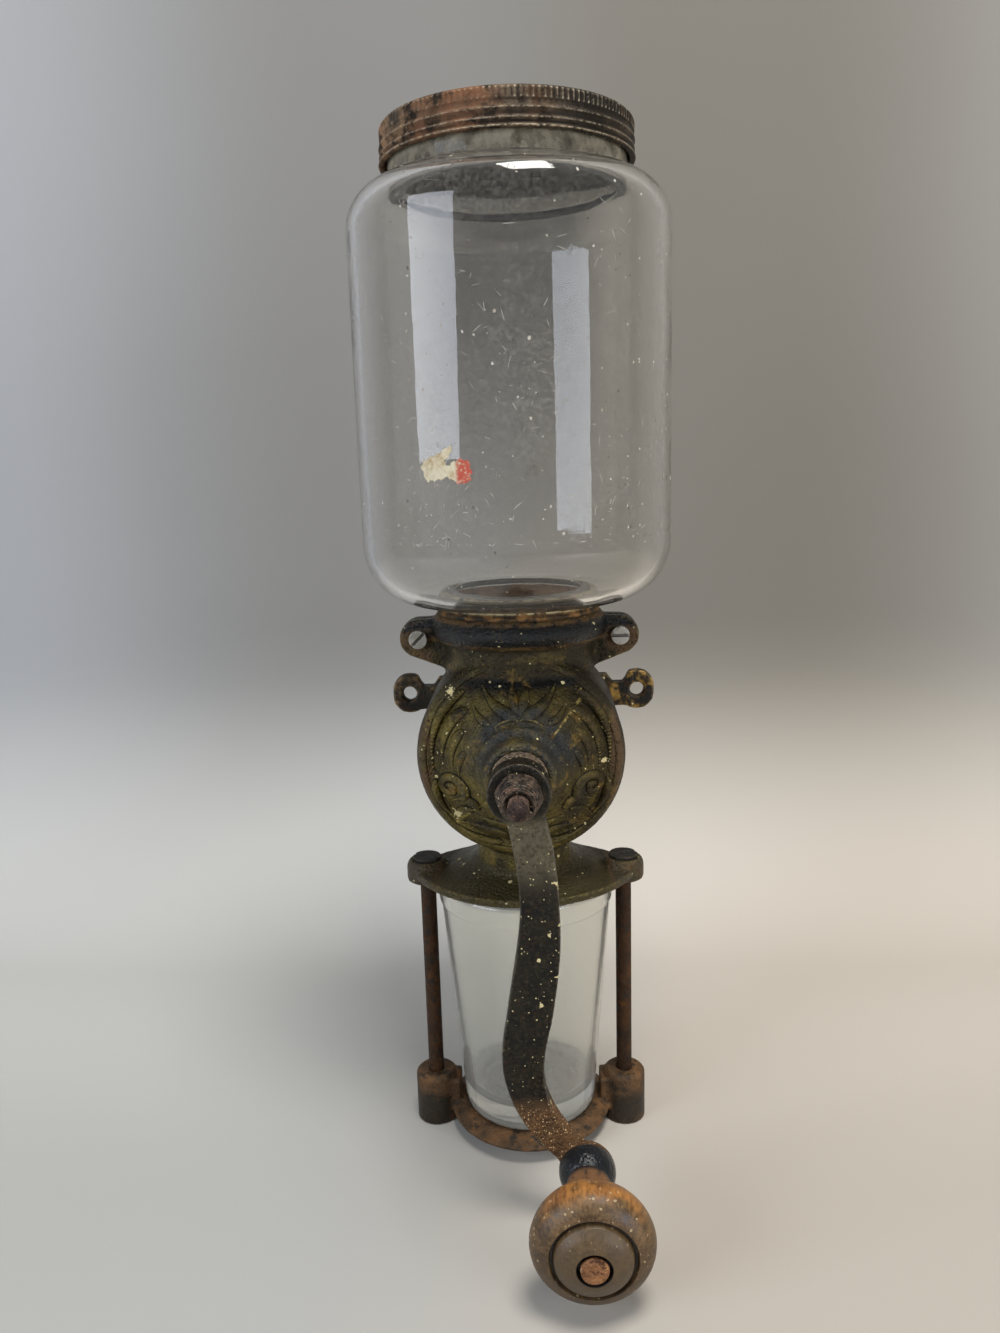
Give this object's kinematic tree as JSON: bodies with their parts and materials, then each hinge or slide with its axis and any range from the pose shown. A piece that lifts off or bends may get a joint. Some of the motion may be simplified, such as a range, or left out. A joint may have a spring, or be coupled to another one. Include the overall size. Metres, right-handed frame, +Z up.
{
  "type": "wall mounted coffee mill",
  "caption": "Wall mounted hand coffee mill: glass hopper jar with screw lid, cast iron grinding drum, front crank with wooden knob, glass catch cup on a sprung ring holder.",
  "frame": {"origin": "midpoint of the two wall screw holes, on the wall plane", "axes": "+Z up, +Y into the wall, so the front with the crank faces -Y, +X to the viewer's right"},
  "size_m": [0.1296, 0.1947, 0.4292],
  "materials": {
    "jar_glass": "clear, dusty",
    "lid_tin": "rusted tin",
    "liner_card": "plain card",
    "rusty_sheet": "rusted sheet iron",
    "casing_iron": "worn dark patina",
    "screw_steel": "worn",
    "burr_iron": "ground",
    "bush_brass": "satin",
    "shaft_steel": "dark, oiled",
    "crank_black": "worn black",
    "rusty_rod": "rusted",
    "knob_wood": "aged, dull",
    "holder_rust": "rusted",
    "spring_steel": "dull",
    "cup_glass": "clear, dusty"
  },
  "bodies": {
    "mill_body": {"front_casing": "casing_iron", "back_bracket": "casing_iron", "collar_clamp": "casing_iron", "clamp_screws": "screw_steel", "bracket_screws": "screw_steel", "ring_burr": "burr_iron", "ring_burr_screws": "screw_steel", "rear_bush": "bush_brass", "jar_ring": "rusty_sheet", "hopper_jar": "jar_glass", "left_rod": "rusty_rod", "right_rod": "rusty_rod", "rod_nuts": "rusty_rod", "left_spring": "spring_steel", "right_spring": "spring_steel"},
    "liner": {"lid_liner": "liner_card"},
    "lid": {"jar_lid": "lid_tin"},
    "thrust": {"thrust_ring": "bush_brass"},
    "sleeve": {"adjusting_sleeve": "shaft_steel"},
    "crank": {"main_shaft": "shaft_steel", "cone_burr": "burr_iron", "feed_worm": "burr_iron", "drive_pin": "screw_steel", "crank_arm": "crank_black", "crank_nut": "shaft_steel", "knob_spindle": "rusty_rod"},
    "knob": {"knob": "knob_wood"},
    "holder": {"cup_holder": "holder_rust"},
    "cup": {"catch_cup": "cup_glass"}
  },
  "joints": [
    {"name": "lid_lift", "type": "slide", "parent": "mill_body", "child": "liner", "axis": [0, 0, 1], "range_m": [0, 0.0112]},
    {"name": "lid_turn", "type": "hinge", "parent": "liner", "child": "lid", "pos_m": [0, -0.067, 0.23], "axis": [0, 0, 1], "range_deg": [0, 630]},
    {"name": "adjust_travel", "type": "slide", "parent": "mill_body", "child": "thrust", "axis": [0, -1, 0], "range_m": [-0.000399, 0.000399]},
    {"name": "adjust_turn", "type": "hinge", "parent": "thrust", "child": "sleeve", "pos_m": [0, -0.12, -0.007], "axis": [0, -1, 0], "range_deg": [-115, 115]},
    {"name": "crank_turn", "type": "hinge", "parent": "thrust", "child": "crank", "pos_m": [0, -0.14, -0.007], "axis": [0, -1, 0], "continuous": true},
    {"name": "knob_spin", "type": "hinge", "parent": "crank", "child": "knob", "pos_m": [0.023, -0.17, -0.162], "axis": [0, -1, 0], "continuous": true},
    {"name": "holder_slide", "type": "slide", "parent": "mill_body", "child": "holder", "axis": [0, 0, -1], "range_m": [0, 0.009], "stiffness_N_per_m": 1200, "springref_m": -0.007, "deforming": ["left_spring", "right_spring"]},
    {"name": "cup_slide", "type": "slide", "parent": "holder", "child": "cup", "axis": [0, -1, 0], "range_m": [0, 0.024]}
  ],
  "couplings": [
    {"joint": "lid_lift", "follows": "lid_turn", "m_per_rad": 0.0010106},
    {"joint": "adjust_turn", "follows": "adjust_travel", "rad_per_m": 5026.5}
  ]
}
